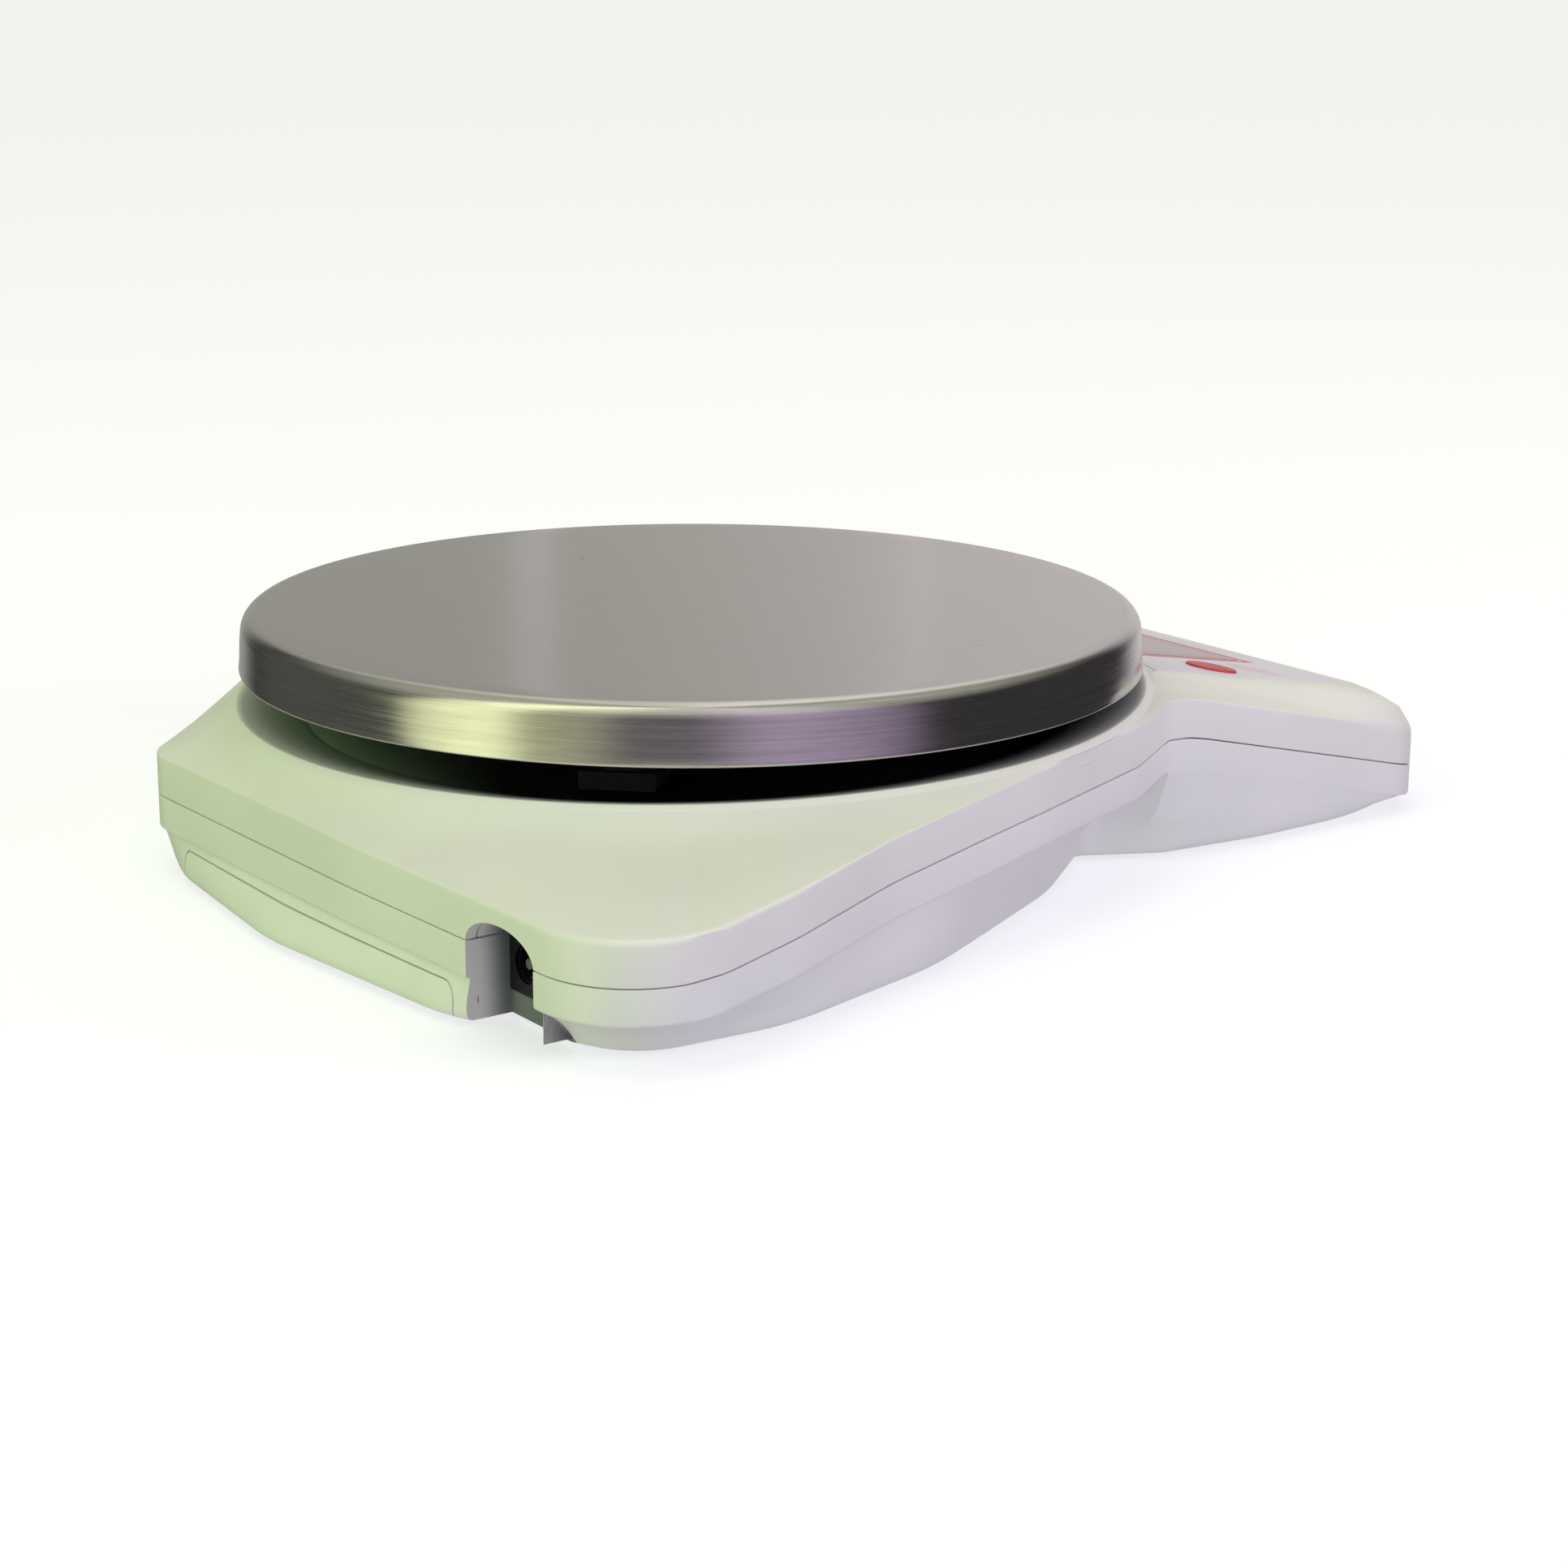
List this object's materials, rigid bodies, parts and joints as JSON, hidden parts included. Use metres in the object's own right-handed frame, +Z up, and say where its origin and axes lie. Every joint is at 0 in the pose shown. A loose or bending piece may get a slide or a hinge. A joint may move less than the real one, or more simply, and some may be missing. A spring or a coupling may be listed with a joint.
{
  "type": "bench scale",
  "caption": "Compact digital bench scale: round brushed steel platter on a plastic body with a sloping display console, red keys, adapter socket niche and rear battery door",
  "frame": {"origin": "on the table under the middle of the bounding box", "axes": "+Z up, -Y towards the person who reads the display, +Y towards the battery door"},
  "size_m": [0.2254, 0.265, 0.0524],
  "materials": {
    "cover": "ivory moulded plastic, fine satin grain",
    "shell": "ivory moulded plastic, fine satin grain",
    "door": "ivory moulded plastic, fine satin grain",
    "steel": "brushed stainless steel",
    "screw": "zinc plated steel",
    "carrier": "dark glass-filled plastic",
    "rubber": "dark soft rubber",
    "cell": "milled aluminium",
    "jack": "black socket body",
    "board": "green circuit board",
    "glass": "liquid crystal display",
    "lens": "smoked window",
    "label": "white overlay film",
    "key": "red key rubber",
    "switch": "black plastic",
    "battery": "plain battery jacket",
    "contact": "nickel plated contact",
    "wire": "grey cable sheath"
  },
  "bodies": {
    "case": {"upper_cover": "cover", "lower_shell": "shell", "load_cell": "cell", "cell_spacer": "screw", "overload_stop": "screw", "dc_jack": "jack", "main_board": "board", "lcd_module": "glass", "display_lens": "lens", "overlay_label": "label", "processor": "switch", "battery_tray": "switch", "contact_bridge": "contact", "contact_minus": "contact", "contact_plus": "contact", "load_cell_cable": "wire", "foot_1": "rubber", "battery_1": "battery", "case_screw_1": "screw", "foot_2": "rubber", "battery_2": "battery", "case_screw_2": "screw", "foot_3": "rubber", "battery_3": "battery", "case_screw_3": "screw", "foot_4": "rubber", "battery_4": "battery", "case_screw_4": "screw", "key_switch_1": "switch", "key_switch_2": "switch", "key_switch_3": "switch", "cell_screw_1": "screw", "cell_screw_2": "screw"},
    "weighing_post": {"platter_support": "carrier", "support_spacer": "screw", "support_screw_1": "screw", "support_screw_2": "screw", "platter_pad_1": "rubber", "platter_pad_2": "rubber", "platter_pad_3": "rubber", "platter_pad_4": "rubber"},
    "platter": {"platter": "steel"},
    "power_key": {"power_key": "key"},
    "tare_key": {"tare_key": "key"},
    "unit_key": {"unit_key": "key"},
    "battery_door": {"battery_door": "door"}
  },
  "joints": [
    {"name": "load_deflection", "type": "slide", "parent": "case", "child": "weighing_post", "axis": [0, 0, -1], "range_m": [0, 0.0002], "stiffness_N_per_m": 200000},
    {"name": "platter_lift", "type": "slide", "parent": "weighing_post", "child": "platter", "axis": [0, 0, 1], "range_m": [0, 0.03]},
    {"name": "power_key_press", "type": "slide", "parent": "case", "child": "power_key", "axis": [0, 0.1772, -0.9842], "range_m": [0, 0.0008], "stiffness_N_per_m": 1500},
    {"name": "tare_key_press", "type": "slide", "parent": "case", "child": "tare_key", "axis": [0, 0.1772, -0.9842], "range_m": [0, 0.0008], "stiffness_N_per_m": 1500},
    {"name": "unit_key_press", "type": "slide", "parent": "case", "child": "unit_key", "axis": [0, 0.1772, -0.9842], "range_m": [0, 0.0008], "stiffness_N_per_m": 1500},
    {"name": "battery_door_slide", "type": "slide", "parent": "case", "child": "battery_door", "axis": [0, 1, 0], "range_m": [0, 0.04]}
  ]
}
